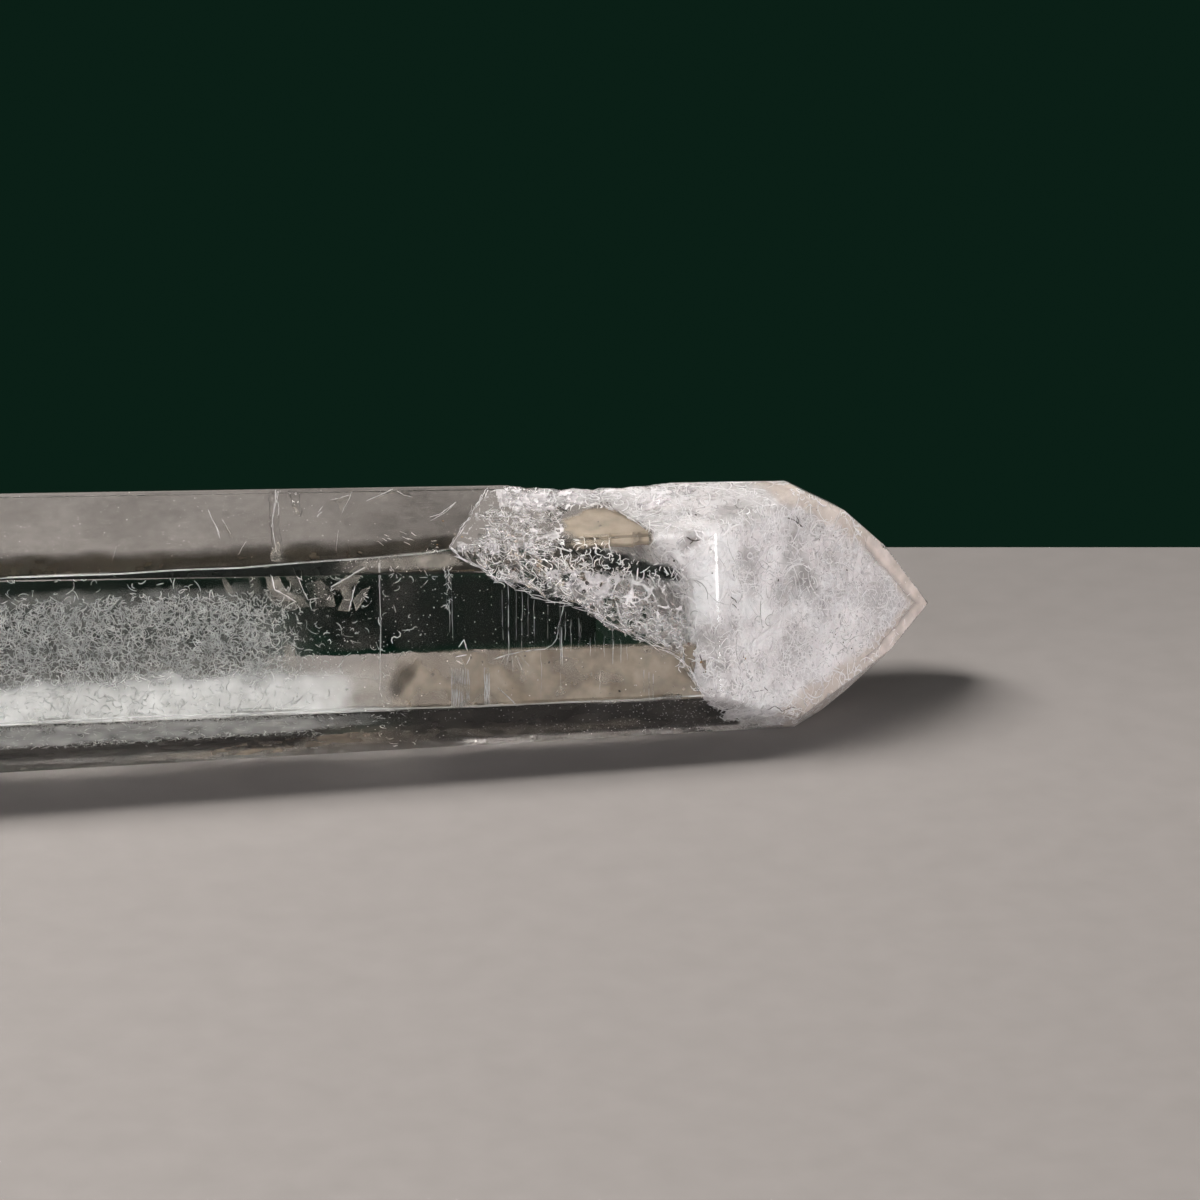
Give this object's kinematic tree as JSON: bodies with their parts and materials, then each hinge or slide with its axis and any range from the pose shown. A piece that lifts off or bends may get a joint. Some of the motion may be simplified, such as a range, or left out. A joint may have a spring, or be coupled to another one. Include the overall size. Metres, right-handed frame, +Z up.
{
  "type": "polished quartz crystal point",
  "caption": "Clear six-sided quartz crystal point with polished faces and a milky tip, lying flat on one of its long faces.",
  "frame": {"origin": "on the surface that the crystal lies on, under the middle of its box", "axes": "+X along the crystal towards its point, +Z up, +Y towards the crystal's back as seen in the picture"},
  "size_m": [0.1097, 0.0314, 0.0272],
  "materials": {
    "quartz": "polished"
  },
  "bodies": {
    "root": {"quartz_point": "quartz"}
  },
  "joints": []
}
